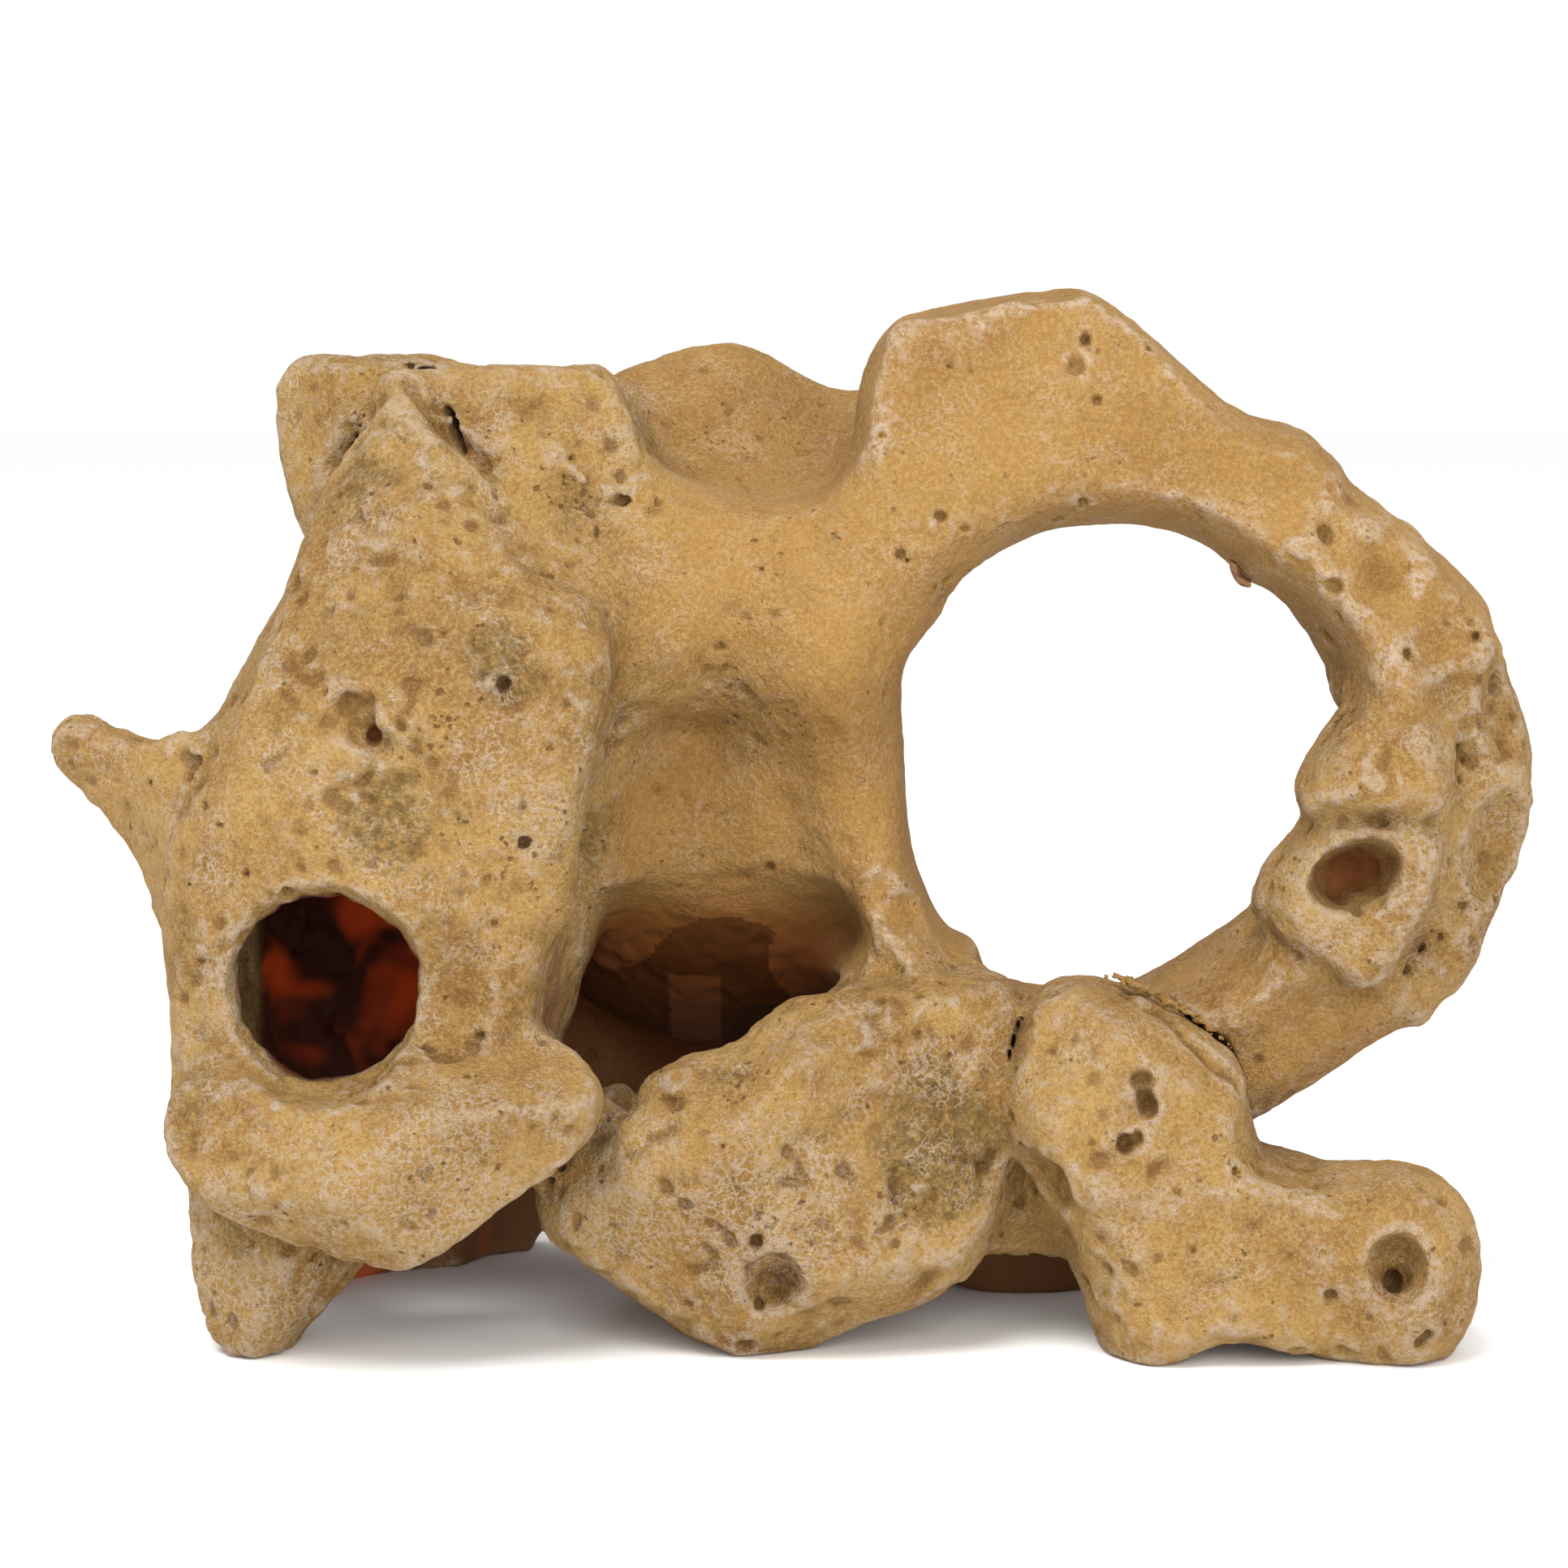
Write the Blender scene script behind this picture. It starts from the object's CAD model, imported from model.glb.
"""The looks of a cast resin cave ornament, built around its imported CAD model.

The CAD stones are turned into one distance field on a grid. There they are melted together where the
casting is smooth, cracked where its bonds show, worn, and pitted. The field is then parted again along
the bonds, so that every CAD stone is stood for by one closed mesh of its own. The stones share one
painted material. The filler and the drip are drawn on finer grids, with materials of their own.
"""

import math

import bpy
import numpy as np
import openvdb as vdb
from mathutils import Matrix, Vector


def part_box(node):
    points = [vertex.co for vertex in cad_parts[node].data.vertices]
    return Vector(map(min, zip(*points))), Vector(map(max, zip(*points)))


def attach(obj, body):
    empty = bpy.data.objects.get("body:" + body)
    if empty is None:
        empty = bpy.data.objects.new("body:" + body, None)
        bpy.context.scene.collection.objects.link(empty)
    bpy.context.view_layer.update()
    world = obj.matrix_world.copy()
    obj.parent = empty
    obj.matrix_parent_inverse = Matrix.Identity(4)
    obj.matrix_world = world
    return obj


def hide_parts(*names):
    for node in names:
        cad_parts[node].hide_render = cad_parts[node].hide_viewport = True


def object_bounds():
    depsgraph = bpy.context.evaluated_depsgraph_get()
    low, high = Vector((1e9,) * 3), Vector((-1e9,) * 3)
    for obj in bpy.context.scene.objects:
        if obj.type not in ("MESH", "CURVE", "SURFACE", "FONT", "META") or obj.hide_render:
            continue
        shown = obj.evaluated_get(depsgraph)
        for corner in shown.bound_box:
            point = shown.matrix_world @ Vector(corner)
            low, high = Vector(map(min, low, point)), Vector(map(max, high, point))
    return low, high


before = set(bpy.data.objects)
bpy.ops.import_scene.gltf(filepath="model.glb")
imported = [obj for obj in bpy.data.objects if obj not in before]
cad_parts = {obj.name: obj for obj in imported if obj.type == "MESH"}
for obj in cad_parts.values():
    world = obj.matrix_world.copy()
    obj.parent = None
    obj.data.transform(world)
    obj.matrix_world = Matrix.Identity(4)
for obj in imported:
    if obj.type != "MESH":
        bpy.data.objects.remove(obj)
CAD_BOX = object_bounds()

MM = 0.001
BODY = "root"
SEED = 20261116

# ---- grid ----------------------------------------------------------------------------------------

VOXEL = 0.75 * MM
BAND = 10 * MM  # how far from a surface the distances are right
PAD = 6 * MM
TILE = 160  # cells after which the random lumps repeat
LUMP_SPREAD = 0.29  # Gaussian width of a random lump as a share of its size

LOW = np.array(CAD_BOX[0]) - PAD
SHAPE = tuple(int(n) for n in np.ceil((np.array(CAD_BOX[1]) + PAD - LOW) / VOXEL))

# ---- how the stones join -------------------------------------------------------------------------

# Stones in the order they are joined: the width in millimetres over which each melts into those
# before it, and how rough its cast skin is.
STONES = {
    "arch_flank": (4, 0.9),
    "arch_shoulder": (5, 0.5),
    "arch_crown": (6, 0.4),
    "arch_pillar": (7, 0.25),
    "arch_sill": (6, 0.4),
    "arch_nose": (3, 0.8),
    "arch_boss": (2.5, 0.9),
    "saddle_bowl": (8, 0.45),
    "centre_wall": (9, 0.25),
    "left_tower": (5, 1.0),
    "rear_wall": (8, 0.6),
    "left_spur": (6, 0.7),
    "top_slab": (4, 1.0),
    "rear_knob": (2.5, 1.0),
    "rear_foot": (5, 0.5),
    "centre_stone": (3, 1.0),
    "front_ledge": (3, 1.0),
    "left_foot": (2.5, 1.1),
    "right_boulder": (1.5, 0.8),
    "end_knob": (5, 0.8),
}
# Bonds that show as a crack, with its half width and depth in millimetres.
CRACKS = [
    ("left_tower", "top_slab", 1.3, 5.0),
    ("right_boulder", "arch_sill", 1.2, 5.0),
    ("centre_stone", "right_boulder", 0.8, 3.0),
    ("front_ledge", "centre_stone", 0.7, 2.5),
    ("front_ledge", "left_foot", 0.7, 2.5),
    ("left_tower", "rear_knob", 0.8, 3.0),
]

# The tables from here on are in millimetres.

# Roof of the cave, and rounded masses melted on to the stones: centre and radii.
ROOF = ((-12, 40, 84), (44, 40, 44))
FILLS = [
    ((38, -15, 27), (11, 10, 14)),
    ((2, -28, 49), (9, 8, 8)),
    ((-15, -32, 41), (10, 8, 7)),
]
# Hollows where stones flow into one another: centre and radii.
SOFT = [
    ((-12, -12, 116), (38, 26, 26)),
    ((-38, -12, 95), (12, 20, 36)),
    ((9, -12, 95), (12, 14, 38)),
    ((23, -36, 38), (15, 16, 18)),
    ((-12, 8, 74), (30, 18, 13)),
    ((-15, 16, 56), (32, 20, 24)),
    ((120, -4, 115), (11, 26, 11)),
    ((20, -14, 125), (18, 18, 16)),
]
# Ridges (positive height) and hollows (negative) on the front: height, width, and path as (x, z) points.
STROKES = [
    (7.0, 26, [(-21, 112), (-2, 110), (-2, 90), (-21, 87)]),
    (3.5, 12, [(-50, 144), (-44, 134), (-35, 125), (-33, 112), (-36, 98), (-38, 87), (-38, 75)]),
    (-1.5, 10, [(-62, 94), (-66, 86), (-72, 82)]),
    (3.0, 8, [(-65, 156), (-61.5, 150), (-57, 144), (-52, 140)]),
    (2.0, 6, [(18, 164), (17, 156), (14, 147), (9, 140)]),
    (2.5, 7, [(17, 165), (27, 164), (35, 169)]),
    (4.0, 13, [(-24, 35), (-15, 35), (-7, 39), (0, 47)]),
    (2.5, 7, [(101, 132), (102, 126), (99, 117), (94, 110), (90, 104)]),
    (2.5, 7, [(95, 110), (103, 95), (104, 88), (102, 79), (99, 73), (95, 62)]),
    (2.0, 5, [(75, 65), (80, 60), (86, 59), (92, 60)]),
    (2.0, 6, [(48, 29), (58, 27), (72, 29), (84, 26)]),
    (-3.0, 4, [(-67, 157), (-73, 150), (-77, 143)]),
    (1.5, 4, [(91, 133), (97, 134.5)]),
    (-2.5, 6, [(96, 127)]),
    (-3.0, 3.0, [(-64, 156), (-59, 150.5), (-54.5, 146), (-50, 142.5)]),
    (-4.0, 1.8, [(-64.5, 157), (-59, 150.5), (-54.5, 146), (-51, 143)]),
    (-4.0, 1.8, [(-64.5, 157), (-59, 150.5), (-54.5, 146)]),
    (-3.0, 2.4, [(54, 57.5), (60, 54.5), (66, 49.5), (71, 45)]),
    (-4.0, 5, [(14, 73), (19, 70)]),
    (-3.0, 5, [(-70.5, 105)]),
    (-3.5, 3, [(-66, 100.5)]),
    (-2.0, 4, [(-45, 108)]),
    (-1.5, 4, [(-51, 124), (-46, 124.5)]),
    (-1.5, 3, [(-82, 112)]),
    (-1.5, 3, [(-75, 103)]),
    (-3.5, 3.5, [(96, 14)]),
    (-3.0, 5, [(-4, 13)]),
    (-1.5, 2.5, [(20, 12), (22, 14)]),
]
# Small deep holes in the front: place as (x, z), and radius.
HOLES = [
    ((55.3, 44), 1.3),
    ((56, 42.3), 1.6),
    ((52.3, 36.5), 1.5),
    ((54.2, 37.3), 1.1),
    ((95.8, 13.4), 1.6),
    ((99.4, 4.6), 1.0),
    ((100.6, 6), 0.9),
    ((-6.6, 20.8), 1.2),
    ((-6.2, 9.7), 0.9),
    ((-67.5, 101.5), 1.5),
    ((-43.5, 84.8), 1.0),
    ((-46.6, 110), 1.2),
    ((47.4, 164), 0.9),
    ((46.8, 137.6), 0.8),
    ((43, 134.5), 0.9),
    ((99, 113.5), 0.9),
    ((111, 116), 0.8),
    ((107, 95), 0.9),
    ((-7, 98), 0.9),
    ((-4.5, 76), 0.8),
    ((70, 32), 0.8),
]
# Flat faces broken into the front of a stone: where it is as (x, z), its outward normal, and how deep
# it cuts there.
FACETS = {
    "front_ledge": [
        ((-55, 35), (0.30, -1.0, -0.35), 3.0),
        ((-86, 41), (-0.45, -1.0, 0.45), 3.0),
        ((-80, 24), (-0.25, -0.8, -0.9), 2.5),
        ((-58, 50), (0.10, -0.5, 1.0), 2.5),
    ],
    "right_boulder": [
        ((56, 34), (0.10, -1.0, 0.15), 1.2),
        ((43, 50), (-0.5, -0.8, 0.6), 3.0),
        ((66, 46), (0.6, -0.8, 0.9), 2.5),
    ],
    "centre_stone": [
        ((-24, 24), (-0.35, -1.0, -0.30), 2.5),
        ((20, 34), (0.30, -1.0, 0.25), 1.5),
        ((12, 10), (0.3, -0.8, -0.8), 2.5),
    ],
    "left_foot": [
        ((-92, 12), (-0.7, -1.0, -0.1), 2.5),
        ((-78, 12), (0.7, -0.8, -0.3), 2.5),
    ],
    "arch_nose": [
        ((93, 100), (-0.3, -1.0, 0.6), 2.0),
        ((92, 88), (-0.1, -0.5, -1.0), 2.0),
    ],
    "arch_crown": [
        ((45, 155), (0.0, -1.0, 0.3), 2.0),
    ],
    "top_slab": [
        ((-40, 148), (0.25, -1.0, 0.45), 2.0),
    ],
    "rear_knob": [
        ((-83, 146), (-0.9, -1.0, 0.1), 2.5),
    ],
}
# Unpainted chambers: centre and half sizes of boxes with rounded corners. Only these stones line them.
CHAMBERS = [
    ((-66, -4, 50), (27, 37, 68)),
    ((-24, 23.5, 34), (40, 27, 46)),
    ((-25, 30, 60), (36, 18, 50)),
    ((40, 4, 6), (24, 18, 26)),
    ((91.4, -15, 77), (9, 8, 6.5)),
]
LINING = (
    "left_tower",
    "rear_wall",
    "centre_wall",
    "saddle_bowl",
    "rear_foot",
    "arch_sill",
    "arch_pillar",
    "arch_boss",
)

# Olive stains, and places where the pale skin has flaked: centre and radius.
STAINS = [
    ((24, -38, 36), 17),
    ((-66, -45, 90), 15),
    ((-48, -40, 112), 10),
    ((-34, -12, 84), 9),
    ((0, -40, 12), 8),
]
FLAKED = [
    ((-8, -44, 24), 18),
    ((-28, -36, 26), 14),
    ((-60, -56, 34), 20),
    ((-88, -36, 10), 12),
    ((-40, -40, 90), 12),
]
# Random lumps of the cast skin: size, seed, and height.
LUMPS = [(16, 1, 0.45), (7, 2, 0.40), (3.4, 3, 0.38)]
# Pits scattered over the outside: how many are tried, and their smallest and largest radius.
PITS = [(3200, 0.45, 0.9), (260, 0.9, 1.5), (22, 1.6, 2.6)]
SHELTER = -1.5  # how deep in a chamber a place has to be to stay free of pits

HOLE_SHAPE = (1.0, 2.5, 1.2)  # the deep holes run back further than they are wide
FILL_MELT = 9 * MM  # width over which the roof and the rounded masses melt into the stones
FACET_ROUNDING = 0.8 * MM
CRACK_ROUNDING = 0.6 * MM
SOFT_BLUR = 5 * MM  # how far stones flow into one another in the soft hollows
STROKE_STEP = 2 * MM  # between the points that are laid along a stroke
WEAR_BLUR = 0.55 * MM  # rounds every edge of the stones
RELIEF_REACH = 6 * MM  # how far from the surface the relief is worked out
ROUGH_BLUR = 4 * MM  # over which one stone's roughness turns into the next one's
FINE_BLUR = 1 * MM  # a surface point's value in this blur of the solid tells edges from pits
BROAD_BLUR = 4 * MM  # and in this one, swellings from hollows

# ---- field tools ---------------------------------------------------------------------------------


def smooth_union(a, b, width):
    t = np.clip(0.5 + 0.5 * (b - a) / width, 0, 1)
    return b + (a - b) * t - width * t * (1 - t)


def smooth_cut(a, tool, width):
    """The solid a without the solid tool."""
    return -smooth_union(-a, tool, width)


def level_set(points, faces, voxel, reach):
    """A grid of signed distances to a closed mesh, right up to reach metres from it."""
    transform = vdb.createLinearTransform(voxelSize=voxel)
    return vdb.FloatGrid.createLevelSetFromPolygons(
        points, faces, transform=transform, halfWidth=reach / voxel
    )


def node_polygons(node):
    """A CAD node's points relative to the grid's corner, and its triangles."""
    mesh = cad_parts[node].data
    mesh.calc_loop_triangles()
    points = np.empty(len(mesh.vertices) * 3, np.float32)
    mesh.vertices.foreach_get("co", points)
    faces = np.empty(len(mesh.loop_triangles) * 3, np.int32)
    mesh.loop_triangles.foreach_get("vertices", faces)
    points = points.reshape(-1, 3) - LOW.astype(np.float32)
    return points, faces.reshape(-1, 3).astype(np.uint32)


def node_field(node):
    """Signed distances to a CAD node, negative inside, on the whole grid."""
    field = np.full(SHAPE, BAND, np.float32)
    level_set(*node_polygons(node), VOXEL, BAND).copyToArray(field)
    return field


def surface(field, corner=(0, 0, 0), voxel=VOXEL):
    """Points relative to the grid's corner, and quads, of a field's zero surface."""
    grid = vdb.FloatGrid(float(BAND))
    grid.transform = vdb.createLinearTransform(voxelSize=voxel)
    grid.copyFromArray(np.ascontiguousarray(field, dtype=np.float32), ijk=corner)
    return grid.convertToQuads(0.0)


def blurred(field, sigma):
    """Gaussian blur over sigma metres, one axis at a time."""
    spread = sigma / VOXEL
    reach = max(1, math.ceil(2.5 * spread))
    offsets = np.arange(-reach, reach + 1)
    weights = np.exp(-0.5 * (offsets / spread) ** 2)
    weights /= weights.sum()
    for axis in range(3):
        padded = np.pad(field, [(reach, reach) if i == axis else (0, 0) for i in range(3)], mode="edge")
        result = np.zeros_like(field)
        for offset, weight in zip(offsets, weights):
            cut = [slice(None)] * 3
            cut[axis] = slice(reach + offset, reach + offset + field.shape[axis])
            result += np.float32(weight) * padded[tuple(cut)]
        field = result
    return field


def sampled(field, points, voxel=VOXEL):
    """A field's values at points relative to its corner, by linear interpolation."""
    at = np.clip(points / voxel, 0, np.array(field.shape) - 1.001)
    base = at.astype(np.int32)
    x, y, z = (at - base).T.astype(np.float32)
    i, j, k = base.T
    value = 0
    for di, wx in ((0, 1 - x), (1, x)):
        for dj, wy in ((0, 1 - y), (1, y)):
            for dk, wz in ((0, 1 - z), (1, z)):
                value = value + wx * wy * wz * field[i + di, j + dj, k + dk]
    return value


def noise(size, seed):
    """Smooth random values, about -1 to 1, whose lumps are about size metres across."""
    white = np.random.default_rng(SEED + seed).normal(0, 1, (TILE,) * 3)
    full = np.fft.fftfreq(TILE)
    half = np.fft.rfftfreq(TILE)
    square = full[:, None, None] ** 2 + full[None, :, None] ** 2 + half[None, None, :] ** 2
    spread = LUMP_SPREAD * size / VOXEL
    tile = np.fft.irfftn(np.fft.rfftn(white) * np.exp(-2 * (math.pi * spread) ** 2 * square), s=white.shape)
    tile = np.clip(tile / tile.std() * 0.52, -1.5, 1.5).astype(np.float32)
    return tile[np.ix_(*(np.arange(count) % TILE for count in SHAPE))]


# ---- the solid -----------------------------------------------------------------------------------


def front_depths(solid, path):
    """Points along a path in the front view, with the depth of the frontmost surface at each."""
    path = np.array(path, float) * MM
    places = []
    for start, end in zip(path[:-1], path[1:]):
        steps = max(1, math.ceil(np.linalg.norm(end - start) / STROKE_STEP))
        places += [start + (end - start) * i / steps for i in range(steps)]
    places.append(path[-1])
    found = []
    for x, z in places:
        column = solid[round((x - LOW[0]) / VOXEL), :, round((z - LOW[2]) / VOXEL)]
        inside = np.flatnonzero(column < 0)
        if len(inside):
            found.append((x - LOW[0], inside[0] * VOXEL, z - LOW[2]))
    return np.array(found)


def faceted(field, facets):
    """Cuts the flat faces of one stone."""
    for place, normal, depth in facets:
        x, y, z = front_depths(field, [place])[0]
        point = np.array((x, y + depth * MM, z)) / VOXEL
        normal = np.array(normal) / np.linalg.norm(normal)
        axes = np.ogrid[tuple(slice(count) for count in SHAPE)]
        above = sum((axis - p) * n for axis, p, n in zip(axes, point, normal))
        field = smooth_cut(field, (-above * VOXEL).astype(np.float32), FACET_ROUNDING)
    return field


def join_stones():
    """Melts the stones into one solid.

    Gives the solid, its roughness, each stone's own field in millimetres, and the distances to the
    nearest stone and to the second nearest.
    """
    solid = np.full(SHAPE, BAND, np.float32)
    rough = np.full(SHAPE, 0.5, np.float32)
    nearest = solid.copy()
    second = solid.copy()
    fields = {}
    for name, (melt, roughness) in STONES.items():
        field = faceted(node_field(name), FACETS.get(name, []))
        rough[field < nearest] = roughness
        second = np.minimum(second, np.maximum(nearest, field))
        nearest = np.minimum(nearest, field)
        solid = smooth_union(solid, field, melt * MM)
        fields[name] = (field / MM).astype(np.float16)
    return solid, blurred(rough, ROUGH_BLUR), fields, nearest, second


def near(place, radii, margin=0.0):
    """The grid's window around an ellipsoid, and how far out its cells are, 1 being on the ellipsoid."""
    place = (np.array(place) * MM - LOW) / VOXEL
    radii = np.array(radii) * MM / VOXEL
    low = np.clip(np.floor(place - radii - margin / VOXEL).astype(int), 0, SHAPE)
    high = np.clip(np.ceil(place + radii + margin / VOXEL).astype(int) + 1, 0, SHAPE)
    window = tuple(slice(a, b) for a, b in zip(low, high))
    share = np.sqrt(sum(((axis - p) / r) ** 2 for axis, p, r in zip(np.ogrid[window], place, radii)))
    return window, share.astype(np.float32)


def rounded_mass(place, radii):
    """The grid's window around a rounded mass, and about how far its cells are from its surface."""
    window, share = near(place, radii, BAND)
    return window, (share - 1) * np.float32(min(radii) * MM)


def roofed(solid, rough):
    """Melts the roof of the cave into the solid, no further than the chambers reach, and smooths it."""
    window, mass = rounded_mass(*ROOF)
    ranges = (np.arange(part.start, part.stop) for part in window)
    cells = np.stack(np.meshgrid(*ranges, indexing="ij"), 3)
    depth = chamber_depth(cells.reshape(-1, 3) * VOXEL).reshape(mass.shape)
    mass = np.maximum(mass, (-depth * MM).astype(np.float32))
    rough[window] -= rough[window] * np.clip(0.5 - mass / (2 * MM), 0, 0.9)
    solid[window] = smooth_union(solid[window], mass, FILL_MELT)
    return solid


def filled(solid):
    """Melts the other rounded masses into the solid."""
    for place, radii in FILLS:
        window, mass = rounded_mass(place, radii)
        solid[window] = smooth_union(solid[window], mass, FILL_MELT)
    return solid


def softened(solid):
    """Lets the stones flow into one another in a few hollows."""
    smooth = blurred(solid, SOFT_BLUR)
    for place, radii in SOFT:
        window, share = near(place, radii)
        amount = np.clip(2 - 2 * share, 0, 1)
        solid[window] += (smooth[window] - solid[window]) * amount
    return solid


def stroked(solid):
    """Raises ridges and sinks hollows along paths drawn on the front."""
    for height, width, path in STROKES:
        points = front_depths(solid, path) / VOXEL
        reach = width * MM / VOXEL
        low = np.clip(np.floor(points.min(0) - reach).astype(int), 0, SHAPE)
        high = np.clip(np.ceil(points.max(0) + reach).astype(int) + 1, 0, SHAPE)
        window = tuple(slice(a, b) for a, b in zip(low, high))
        x, y, z = np.ogrid[window]
        nearest = np.full([int(n) for n in high - low], reach * reach, np.float32)
        for px, py, pz in points:
            np.minimum(nearest, (x - px) ** 2 + (y - py) ** 2 + (z - pz) ** 2, out=nearest)
        share = np.sqrt(nearest) / reach
        profile = (1 - share) ** 2 if height > 0 else (1 - share**2) ** 2
        solid[window] -= np.float32(height * MM) * profile
    return solid


def cracked(solid, a, b, half_width, depth, wander):
    """Opens the bond between two stones as a ragged groove that closes below the surface."""
    gap = np.sqrt(a.astype(np.float32) ** 2 + b.astype(np.float32) ** 2) * MM
    closing = np.clip(1 + solid / (depth * MM), 0, 1)
    width = half_width * MM * closing * np.clip(0.75 + 0.6 * wander, 0, 1.5)
    return np.where(closing > 0, smooth_cut(solid, gap - width, CRACK_ROUNDING), solid)


def pit(solid, place, radius, squeeze):
    """Cuts a pit in a small window of the grid, drawn out along each axis by a share of its radius."""
    reach = math.ceil((max(squeeze) + 0.4) * radius / VOXEL) + 1
    low = np.maximum(np.floor(place).astype(int) - reach, 0)
    high = np.minimum(low + 2 * reach + 2, SHAPE)
    window = tuple(slice(a, b) for a, b in zip(low, high))
    axes = np.ogrid[window]
    distance = np.sqrt(sum(((axis - p) / q) ** 2 for axis, p, q in zip(axes, place, squeeze))) * VOXEL
    solid[window] = smooth_cut(solid[window], (distance - radius).astype(np.float32), 0.4 * radius)


def worn(solid, rough):
    """Softens the stones, then gives them lumps with worn tops, ragged hollows and grain."""
    solid = blurred(solid, WEAR_BLUR)
    lumps = sum(height * noise(size * MM, seed) for size, seed, height in LUMPS)
    lumps = lumps - 0.75 * np.maximum(lumps - 0.1, 0)
    holes = np.clip(noise(3.4 * MM, 17) + 0.7 * noise(12 * MM, 18) - 0.75, 0, 0.9)
    relief = rough * (lumps - 1.3 * holes + 0.12 * noise(1.9 * MM, 4)) + 0.08 * noise(1.9 * MM, 9)
    return np.where(np.abs(solid) < RELIEF_REACH, solid - relief * np.float32(MM), solid)


def pitted(solid):
    """Drills the deep holes, then scatters pits of several sizes over the outside, in clusters."""
    for place, radius in HOLES:
        pit(solid, front_depths(solid, [place])[0] / VOXEL, radius * MM, HOLE_SHAPE)
    rng = np.random.default_rng(SEED)
    clusters = noise(22 * MM, 5)
    places = np.argwhere(np.abs(solid) < 0.6 * VOXEL)
    for count, low, high in PITS:
        chosen = places[rng.integers(0, len(places), count)] + rng.uniform(-0.5, 0.5, (count, 3))
        radii = rng.uniform(low, high, count) * MM
        sheltered = chamber_depth(chosen * VOXEL) > SHELTER
        chances = np.where(sheltered, 2, rng.uniform(-0.8, 1.2, count))
        for place, radius, chance in zip(chosen, radii, chances):
            cell = tuple(np.clip(np.rint(place).astype(int), 0, np.array(SHAPE) - 1))
            if clusters[cell] > chance:
                pit(solid, place, radius, rng.uniform(0.6, 1.4, 3))
    return solid


def chamber_depth(points):
    """About how many millimetres points relative to the grid's corner lie inside a chamber."""
    depth = np.full(len(points), -BAND / MM)
    for centre, half in CHAMBERS:
        share = ((points + LOW) / MM - centre) / half
        depth = np.maximum(depth, (1 - (share**4).sum(1) ** 0.25) * min(half))
    return depth


def blotches(points, spots):
    """How near points relative to the grid's corner are to a spot: 1 in its middle, 0 at its rim."""
    amount = np.zeros(len(points))
    for centre, radius in spots:
        distance = np.linalg.norm((points + LOW) / MM - centre, axis=1)
        amount = np.maximum(amount, 1 - distance / radius)
    return amount


# ---- pieces --------------------------------------------------------------------------------------

OVERLAP = 1.6 * MM  # how far a piece runs under its neighbour across a bond
SINK = 0.10  # how fast it goes under the neighbour's surface there
TIE = 0.01 * MM  # rounding in the fields; a stone this close to the nearest one is the nearest one
ON_SURFACE = 0.35 * VOXEL  # a point this close to the solid's surface takes its smooth normal


def mesh_object(name, points, quads):
    """A mesh object of points relative to the grid's corner, and quads."""
    mesh = bpy.data.meshes.new(name)
    mesh.vertices.add(len(points))
    mesh.vertices.foreach_set("co", (points + LOW).astype(np.float32).ravel())
    mesh.loops.add(quads.size)
    mesh.loops.foreach_set("vertex_index", quads.astype(np.int32).ravel())
    mesh.polygons.add(len(quads))
    mesh.polygons.foreach_set("loop_start", np.arange(0, quads.size, 4, dtype=np.int32))
    mesh.polygons.foreach_set("use_smooth", np.ones(len(quads), bool))
    mesh.update(calc_edges=True)
    obj = bpy.data.objects.new(name, mesh)
    bpy.context.scene.collection.objects.link(obj)
    return obj


def point_attribute(mesh, name, values):
    attribute = mesh.attributes.new(name, "FLOAT", "POINT")
    attribute.data.foreach_set("value", np.ascontiguousarray(values, dtype=np.float32))


def gradient(field, points):
    """Unit normals of a field at points."""
    parts = []
    for axis in range(3):
        shift = np.zeros(3, np.float32)
        shift[axis] = 0.7 * VOXEL
        parts.append(sampled(field, points + shift) - sampled(field, points - shift))
    normal = np.stack(parts, 1)
    return normal / np.maximum(np.linalg.norm(normal, axis=1, keepdims=True), 1e-12)


def window_of(node):
    """The part of the grid around a CAD node, and its first cell."""
    low, high = (np.array(corner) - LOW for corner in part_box(node))
    low = np.maximum(np.floor((low - PAD) / VOXEL).astype(int), 0)
    high = np.minimum(np.ceil((high + PAD) / VOXEL).astype(int), SHAPE)
    return tuple(slice(a, b) for a, b in zip(low, high)), low


def part_stone(name, solid, fields, nearest, second):
    """Points and quads of the part of the solid nearest to a CAD node, and a little past its bonds."""
    window, corner = window_of(name)
    own = fields[name][window].astype(np.float32) * MM
    mine = own <= nearest[window] + TIE
    rival = np.where(mine, second[window], nearest[window])
    beyond = (own - rival) / 2
    piece = np.maximum(solid[window] + SINK * np.maximum(beyond, 0), beyond - OVERLAP)
    piece = np.pad(piece, 1, constant_values=BAND)
    return surface(piece, tuple(int(n) - 1 for n in corner))


def dress(obj, node, material):
    """Gives a piece its material, and says which CAD node it stands for."""
    obj.data.materials.append(material)
    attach(obj, BODY)
    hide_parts(node)


def shaped(solid, rough, fields):
    """Fills, draws, wears, cracks and pits the melted solid, and cuts it flat where it stands."""
    solid = stroked(softened(filled(roofed(solid, rough))))
    solid = worn(solid, rough)
    wander = noise(7 * MM, 6)
    for a, b, half_width, depth in CRACKS:
        solid = cracked(solid, fields[a], fields[b], half_width, depth, wander)
    solid = pitted(solid)
    heights = LOW[2] + np.arange(SHAPE[2]) * VOXEL
    return np.maximum(solid, -heights.astype(np.float32))


def smooth_normals(obj, points, solid):
    """Takes the normals of points on the solid's surface from its field."""
    on_surface = np.abs(sampled(solid, points)) < ON_SURFACE
    normals = gradient(solid, points) * on_surface[:, None]
    obj.data.normals_split_custom_set_from_vertices(normals.tolist())


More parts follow.
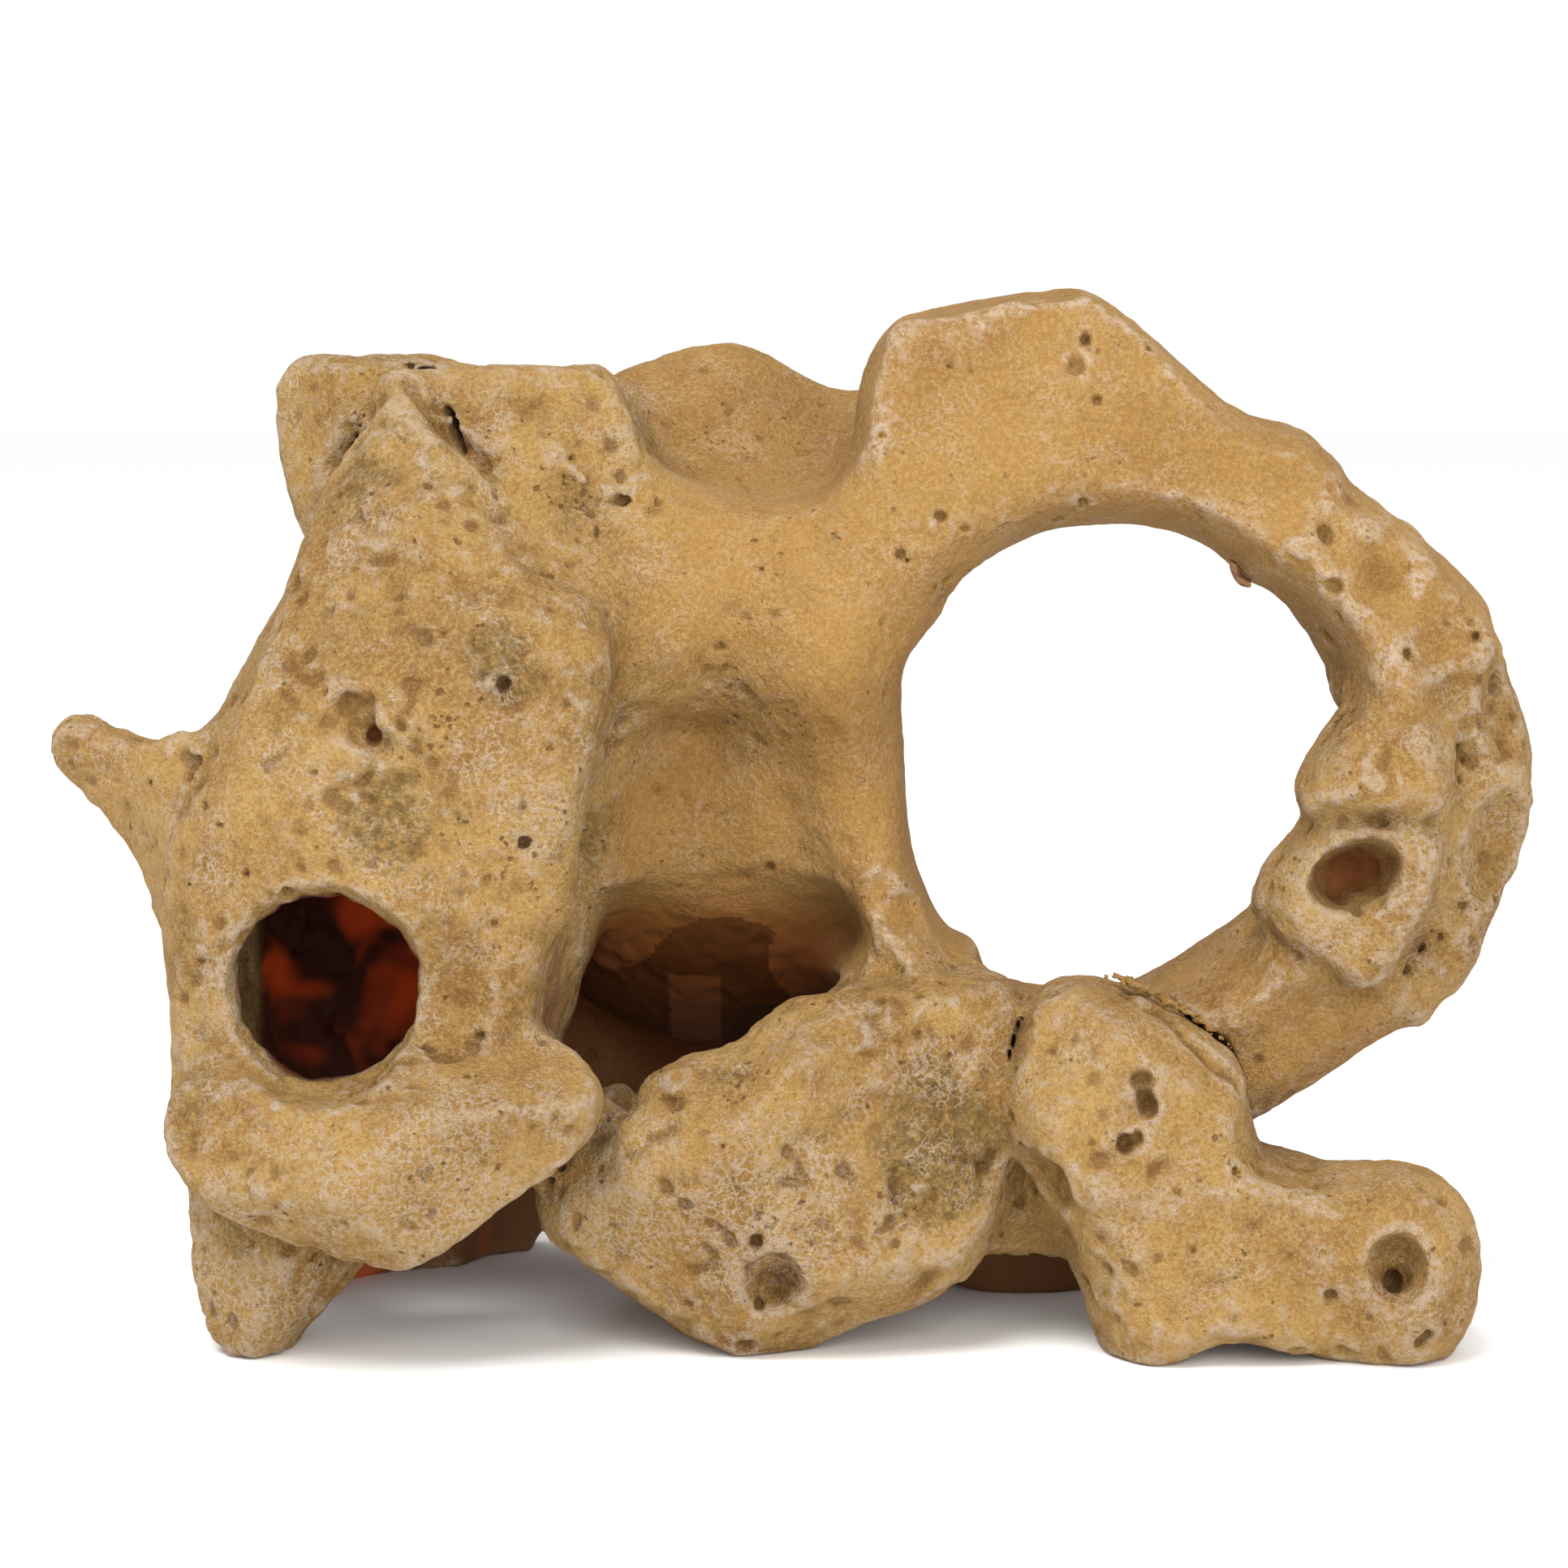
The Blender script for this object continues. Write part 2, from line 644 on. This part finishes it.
def build_stones(material):
    solid, rough, fields, nearest, second = join_stones()
    solid = shaped(solid, rough, fields)
    fine = blurred(solid, FINE_BLUR)
    broad = blurred(fine, BROAD_BLUR)
    for name in STONES:
        points, quads = part_stone(name, solid, fields, nearest, second)
        obj = mesh_object(name + "_skin", points, quads)
        cave = chamber_depth(points) if name in LINING else np.full(len(points), -BAND / MM)
        point_attribute(obj.data, "edge", sampled(fine, points) / MM)
        point_attribute(obj.data, "swell", sampled(broad, points) / MM)
        point_attribute(obj.data, "rough", sampled(rough, points))
        point_attribute(obj.data, "cave", cave)
        point_attribute(obj.data, "stained", blotches(points, STAINS))
        point_attribute(obj.data, "flaked", blotches(points, FLAKED))
        smooth_normals(obj, points, solid)
        dress(obj, name, material)


def build_fine(node, material, voxel, swell, grain):
    """Draws a small CAD node on a grid of its own, grown by swell and roughened by grain metres."""
    low, high = (np.array(corner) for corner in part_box(node))
    margin = 4 * voxel + abs(swell) + grain
    points, faces = node_polygons(node)
    points = points + (LOW - low + margin).astype(np.float32)
    shape = [math.ceil(count) for count in (high - low + 2 * margin) / voxel]
    field = np.full(shape, margin, np.float32)
    level_set(points, faces, voxel, margin).copyToArray(field)
    crumbs = np.random.default_rng(SEED).normal(0, 1, shape).astype(np.float32)
    crumbs = blurred(crumbs, 0.7 * VOXEL)
    field -= swell + grain * crumbs / crumbs.std()
    points, quads = surface(field, voxel=voxel)
    obj = mesh_object(node + "_skin", points + (low - margin - LOW), quads)
    dress(obj, node, material)


# ---- materials -----------------------------------------------------------------------------------


class Nodes:
    """Short calls for making and linking shader nodes. Places in the textures are in millimetres."""

    def __init__(self, name):
        self.material = bpy.data.materials.new(name)
        self.material.use_nodes = True
        self.tree = self.material.node_tree
        self.tree.nodes.clear()
        coordinates = self.add("ShaderNodeTexCoord")
        self.place = self.scaled(coordinates.outputs["Object"], 1 / MM)

    def add(self, kind, inputs=None, **properties):
        """A new node, its properties set and its inputs filled with values or links."""
        node = self.tree.nodes.new(kind)
        for key, value in properties.items():
            setattr(node, key, value)
        for key, value in (inputs or {}).items():
            self.put(node.inputs[key], value)
        return node

    def put(self, socket, value):
        if isinstance(value, bpy.types.NodeSocket):
            self.tree.links.new(value, socket)
        else:
            socket.default_value = value

    def scaled(self, vector, scale):
        inputs = {0: vector, "Scale": scale}
        return self.add("ShaderNodeVectorMath", inputs, operation="SCALE").outputs[0]

    def moved(self, vector, offset):
        return self.add("ShaderNodeVectorMath", {0: vector, 1: offset}, operation="ADD").outputs[0]

    def math(self, operation, a, b):
        return self.add("ShaderNodeMath", {0: a, 1: b}, operation=operation).outputs[0]

    def attribute(self, name):
        return self.add("ShaderNodeAttribute", attribute_name=name).outputs["Fac"]

    def noise(self, size, detail=3.0, roughness=0.5, distortion=0.0, shift=0.0):
        """Noise with lumps about size millimetres across, 0 to 1."""
        place = self.moved(self.place, (shift, 2 * shift, -shift))
        inputs = {"Vector": place, "Scale": 1 / size, "Detail": detail, "Roughness": roughness}
        inputs["Distortion"] = distortion
        return self.add("ShaderNodeTexNoise", inputs).outputs["Fac"]

    def bent_place(self, size, reach):
        """The place moved at random by up to about reach millimetres, over lumps of size millimetres."""
        inputs = {"Vector": self.place, "Scale": 1 / size}
        value = self.add("ShaderNodeTexNoise", inputs).outputs["Color"]
        offset = self.scaled(self.moved(value, (-0.5, -0.5, -0.5)), 2 * reach)
        return self.moved(self.place, offset)

    def cells(self, place, size, feature):
        """Distance to the nearest cell's middle, or to its edge, for cells of size millimetres."""
        inputs = {"Vector": place, "Scale": 1 / size, "Randomness": 1.0}
        return self.add("ShaderNodeTexVoronoi", inputs, feature=feature).outputs["Distance"]

    def ramp(self, value, low, high, bottom=0.0, top=1.0):
        """Value from low to high turned smoothly into bottom to top."""
        inputs = {"Value": value, "From Min": low, "From Max": high, "To Min": bottom, "To Max": top}
        node = self.add("ShaderNodeMapRange", inputs, interpolation_type="SMOOTHSTEP")
        return node.outputs["Result"]

    def mix_value(self, share, a, b):
        return self.add("ShaderNodeMix", {0: share, 2: a, 3: b}, data_type="FLOAT").outputs[0]

    def mix(self, share, a, b):
        """Colour a turned into colour b by share."""
        node = self.add("ShaderNodeMix", data_type="RGBA", clamp_factor=True)
        self.put(node.inputs["Factor"], share)
        for key, value in (("A", a), ("B", b)):
            socket = next(s for s in node.inputs if s.name == key and s.type == "RGBA")
            self.put(socket, (*value, 1.0) if isinstance(value, tuple) else value)
        return next(s for s in node.outputs if s.type == "RGBA")

    def bump(self, height, distance):
        return self.add("ShaderNodeBump", {"Height": height, "Distance": distance}).outputs["Normal"]

    def finish(self, **inputs):
        """The material, with a principled shader of the given inputs."""
        inputs = {key.replace("_", " "): value for key, value in inputs.items()}
        shader = self.add("ShaderNodeBsdfPrincipled", inputs)
        self.add("ShaderNodeOutputMaterial", {"Surface": shader.outputs[0]})
        return self.material


OCHRE_LIGHT = (0.46, 0.270, 0.082)
OCHRE_DEEP = (0.28, 0.140, 0.034)
PALE = (0.52, 0.40, 0.29)
CREAM = (0.56, 0.38, 0.15)
RUST = (0.12, 0.040, 0.007)
OLIVE = (0.125, 0.080, 0.022)
RAW_RESIN = (0.11, 0.030, 0.004)
DULL_RESIN = (0.15, 0.062, 0.022)
THIN_PAINT = (0.26, 0.11, 0.022)
DARK_RESIN = (0.045, 0.008, 0.002)
GLOW = (1.0, 0.09, 0.004)
RESIN_DARK = (0.16, 0.06, 0.02)
RESIN_LIGHT = (0.30, 0.14, 0.05)
FLOOR_WHITE = (0.98, 0.98, 0.98, 1.0)


def ochre(nodes, rough, grain):
    """Mottled ochre paint with a sandy grain, deeper in hollows and on the smooth stones."""
    patches = nodes.ramp(nodes.noise(24, detail=4, roughness=0.6), 0.38, 0.62)
    mottle = nodes.ramp(nodes.noise(4.5, detail=5, roughness=0.7, shift=31), 0.40, 0.66, 0, 0.55)
    colour = nodes.mix(patches, OCHRE_DEEP, OCHRE_LIGHT)
    colour = nodes.mix(mottle, colour, OCHRE_LIGHT)
    hollow = nodes.ramp(nodes.attribute("swell"), -0.8, 0.5, 0.6, 0)
    smooth = nodes.ramp(rough, 0.3, 0.9, 0.65, 0)
    colour = nodes.mix(nodes.math("MAXIMUM", hollow, smooth), colour, OCHRE_DEEP)
    contrast = nodes.ramp(rough, 0.1, 0.9, 0.45, 1.0)
    light = nodes.math("MULTIPLY", nodes.ramp(grain, 0.45, 0.62, 0, 0.5), contrast)
    dark = nodes.math("MULTIPLY", nodes.ramp(grain, 0.34, 0.48, 0.6, 0), contrast)
    return nodes.mix(dark, nodes.mix(light, colour, CREAM), OCHRE_DEEP)


def stained(nodes, colour, rough):
    """Olive stains in speckled patches, strongest at the marked spots."""
    patches = nodes.noise(30, detail=5, roughness=0.7, shift=77)
    spots = nodes.math("MULTIPLY", nodes.attribute("stained"), 0.35)
    patches = nodes.ramp(nodes.math("ADD", patches, spots), 0.56, 0.74, 0, 0.85)
    speckle = nodes.ramp(nodes.noise(1.3, detail=4, roughness=0.75), 0.36, 0.62, 0.15, 1.0)
    stain = nodes.math("MULTIPLY", patches, speckle)
    return nodes.mix(nodes.math("MULTIPLY", stain, rough), colour, OLIVE)


def flaked(nodes, colour, rough, grain):
    """A pale net where the skin has flaked, and pale brushing on the worn edges."""
    net = nodes.cells(nodes.bent_place(2.2, 2.0), 1.7, "DISTANCE_TO_EDGE")
    ragged = nodes.math("MULTIPLY", nodes.math("SUBTRACT", grain, 0.5), -0.45)
    lines = nodes.ramp(nodes.math("ADD", net, ragged), 0.03, 0.14, 1, 0)
    patches = nodes.noise(10, detail=5, roughness=0.7, shift=12)
    spots = nodes.math("MULTIPLY", nodes.attribute("flaked"), 0.25)
    patches = nodes.ramp(nodes.math("ADD", patches, spots), 0.46, 0.62)
    flakes = nodes.math("MULTIPLY", nodes.math("MULTIPLY", lines, patches), rough)
    edges = nodes.ramp(nodes.attribute("edge"), 0.05, 0.26)
    streaks = nodes.ramp(nodes.noise(1.4, detail=5, roughness=0.8, shift=5), 0.40, 0.58)
    brushed = nodes.math("MULTIPLY", nodes.math("MULTIPLY", edges, streaks), 0.8)
    pale = nodes.math("MAXIMUM", nodes.math("MULTIPLY", flakes, 0.7), brushed)
    return nodes.mix(pale, colour, PALE)


def pores(nodes):
    """Small round pores in clusters, 1 inside them."""
    distance = nodes.cells(nodes.bent_place(0.9, 0.7), 1.9, "F1")
    size = nodes.ramp(nodes.noise(13, detail=3, roughness=0.6, shift=50), 0.42, 0.72, -0.02, 0.30)
    pore = nodes.ramp(nodes.math("SUBTRACT", distance, size), -0.05, 0.07, 1, 0)
    clusters = nodes.ramp(nodes.noise(2.7, detail=3, roughness=0.6, shift=71), 0.45, 0.6)
    return nodes.math("MULTIPLY", pore, clusters)


def browned(nodes, colour, rough, pore):
    """Brown in the pores and in the pits."""
    sunk = nodes.ramp(nodes.attribute("edge"), -0.30, -0.05, 1, 0)
    pits = nodes.math("MULTIPLY", sunk, 0.42)
    dark = nodes.math("MAXIMUM", nodes.math("MULTIPLY", pore, 0.7), pits)
    share = nodes.math("MULTIPLY", dark, nodes.ramp(rough, 0.1, 0.9, 0.4, 1))
    return nodes.mix(share, colour, RUST)


def bare_chambers(nodes, colour):
    """Unpainted resin inside the chambers: its colour, how far inside it is, and the tower's glow."""
    x, _, z = nodes.add("ShaderNodeSeparateXYZ", {0: nodes.place}).outputs
    tower = nodes.ramp(x, -60, -50, 1, 0)
    ragged = nodes.math("ADD", nodes.attribute("cave"), nodes.noise(6, 2, 0.6, shift=3))
    rim = nodes.mix_value(tower, -3.0, 0.0)
    inside = nodes.mix_value(tower, 5.0, 1.6)
    deep = nodes.ramp(ragged, rim, inside)
    left_of_ring = nodes.ramp(x, 60, 80, 1, 0)
    painted = nodes.math("MULTIPLY", nodes.ramp(z, 56, 82), left_of_ring)
    resin = nodes.mix(painted, RAW_RESIN, THIN_PAINT)
    resin = nodes.mix(tower, resin, DARK_RESIN)
    resin = nodes.mix(nodes.ramp(z, 12, 28), DULL_RESIN, resin)
    thin = nodes.ramp(nodes.noise(17, 2, 0.5, distortion=0.6, shift=90), 0.46, 0.70, 0, 0.12)
    glow = nodes.math("MULTIPLY", nodes.math("MULTIPLY", thin, tower), deep)
    return nodes.mix(deep, colour, resin), deep, glow


def painted_stone():
    """Ochre paint over a sandy cast, pale on worn edges, and bare dark resin inside the chambers."""
    nodes = Nodes("painted_stone")
    rough = nodes.attribute("rough")
    grain = nodes.noise(0.75, detail=3, roughness=0.85)
    pore = pores(nodes)
    colour = stained(nodes, ochre(nodes, rough, grain), rough)
    colour = browned(nodes, flaked(nodes, colour, rough, grain), rough, pore)
    colour, deep, glow = bare_chambers(nodes, colour)

    lumps = nodes.math("MULTIPLY", nodes.noise(2.2, 2, 0.7), 0.5)
    height = nodes.math("ADD", nodes.math("MULTIPLY", grain, 0.8), lumps)
    height = nodes.math("SUBTRACT", height, nodes.math("MULTIPLY", pore, 0.5))
    outside = nodes.math("SUBTRACT", 1.0, deep)
    bumpy = nodes.math("MULTIPLY", nodes.ramp(rough, 0.1, 1.0, 0.55, 1.0), outside)
    return nodes.finish(
        Base_Color=colour,
        Roughness=nodes.mix_value(deep, 0.9, 0.75),
        Specular_IOR_Level=0.22,
        Normal=nodes.bump(nodes.math("MULTIPLY", height, bumpy), 2.4 * MM),
        Emission_Color=(*GLOW, 1.0),
        Emission_Strength=glow,
    )


def filler():
    """Crumbly ochre filler, coarser than the stone."""
    nodes = Nodes("filler")
    grain = nodes.noise(1.0, detail=5, roughness=0.8)
    colour = nodes.mix(nodes.ramp(grain, 0.35, 0.65), OCHRE_DEEP, OCHRE_LIGHT)
    pale = nodes.ramp(nodes.noise(0.7, detail=3, roughness=0.7, shift=4), 0.5, 0.7, 0, 0.4)
    return nodes.finish(
        Base_Color=nodes.mix(pale, colour, PALE),
        Roughness=0.95,
        Specular_IOR_Level=0.15,
        Normal=nodes.bump(grain, 1.2 * MM),
    )


def bare_resin():
    """Cured resin left without paint: clear brown, with a soft shine."""
    nodes = Nodes("bare_resin")
    colour = nodes.mix(nodes.ramp(nodes.noise(1.5, 3), 0.35, 0.65), RESIN_DARK, RESIN_LIGHT)
    return nodes.finish(Base_Color=colour, Roughness=0.45, Specular_IOR_Level=0.5)


# ---- stage -----------------------------------------------------------------------------------------

DISTANCE = 0.735
ELEVATION = math.radians(6)
TARGET = Vector((-0.0022, 0.001, 0.0895))
LIGHTS_TARGET = Vector((0, 0, 0.08))
FLOOR_HALF = 6.0


def aim(obj, target):
    obj.rotation_euler = (target - obj.location).to_track_quat("-Z", "Y").to_euler()


def camera():
    data = bpy.data.cameras.new("camera")
    data.lens = 100
    data.sensor_width = 36
    obj = bpy.data.objects.new("camera", data)
    obj.location = TARGET + DISTANCE * Vector((0, -math.cos(ELEVATION), math.sin(ELEVATION)))
    aim(obj, TARGET)
    bpy.context.scene.collection.objects.link(obj)
    bpy.context.scene.camera = obj


def light(name, place, size, power):
    """A round white area light that faces the ornament."""
    data = bpy.data.lights.new(name, "AREA")
    data.shape = "DISK"
    data.size = size
    data.energy = power
    obj = bpy.data.objects.new(name, data)
    obj.location = place
    aim(obj, LIGHTS_TARGET)
    bpy.context.scene.collection.objects.link(obj)


def floor():
    """A pale square floor under the ornament."""
    mesh = bpy.data.meshes.new("floor")
    corners = [(x * FLOOR_HALF, y * FLOOR_HALF, 0) for x, y in ((-1, -1), (1, -1), (1, 1), (-1, 1))]
    mesh.from_pydata(corners, [], [(0, 1, 2, 3)])
    mesh.materials.append(Nodes("floor").finish(Base_Color=FLOOR_WHITE, Roughness=1.0))
    obj = bpy.data.objects.new("floor", mesh)
    bpy.context.scene.collection.objects.link(obj)


def white_surroundings():
    world = bpy.data.worlds.new("studio")
    world.use_nodes = True
    background = world.node_tree.nodes["Background"]
    background.inputs["Color"].default_value = (1, 1, 1, 1)
    background.inputs["Strength"].default_value = 1.0
    bpy.context.scene.world = world


def studio():
    """A pale floor, white surroundings and two soft lights."""
    floor()
    white_surroundings()
    light("key", (-0.35, -0.60, 1.25), 0.8, 17)
    light("fill", (0.35, -1.15, 0.45), 1.0, 10)
    bpy.context.scene.view_settings.view_transform = "Standard"


build_stones(painted_stone())
build_fine("boulder_filler", filler(), 0.4 * MM, -0.7 * MM, 0.35 * MM)
build_fine("resin_drip", bare_resin(), 0.2 * MM, 0.0, 0.05 * MM)
camera()
studio()
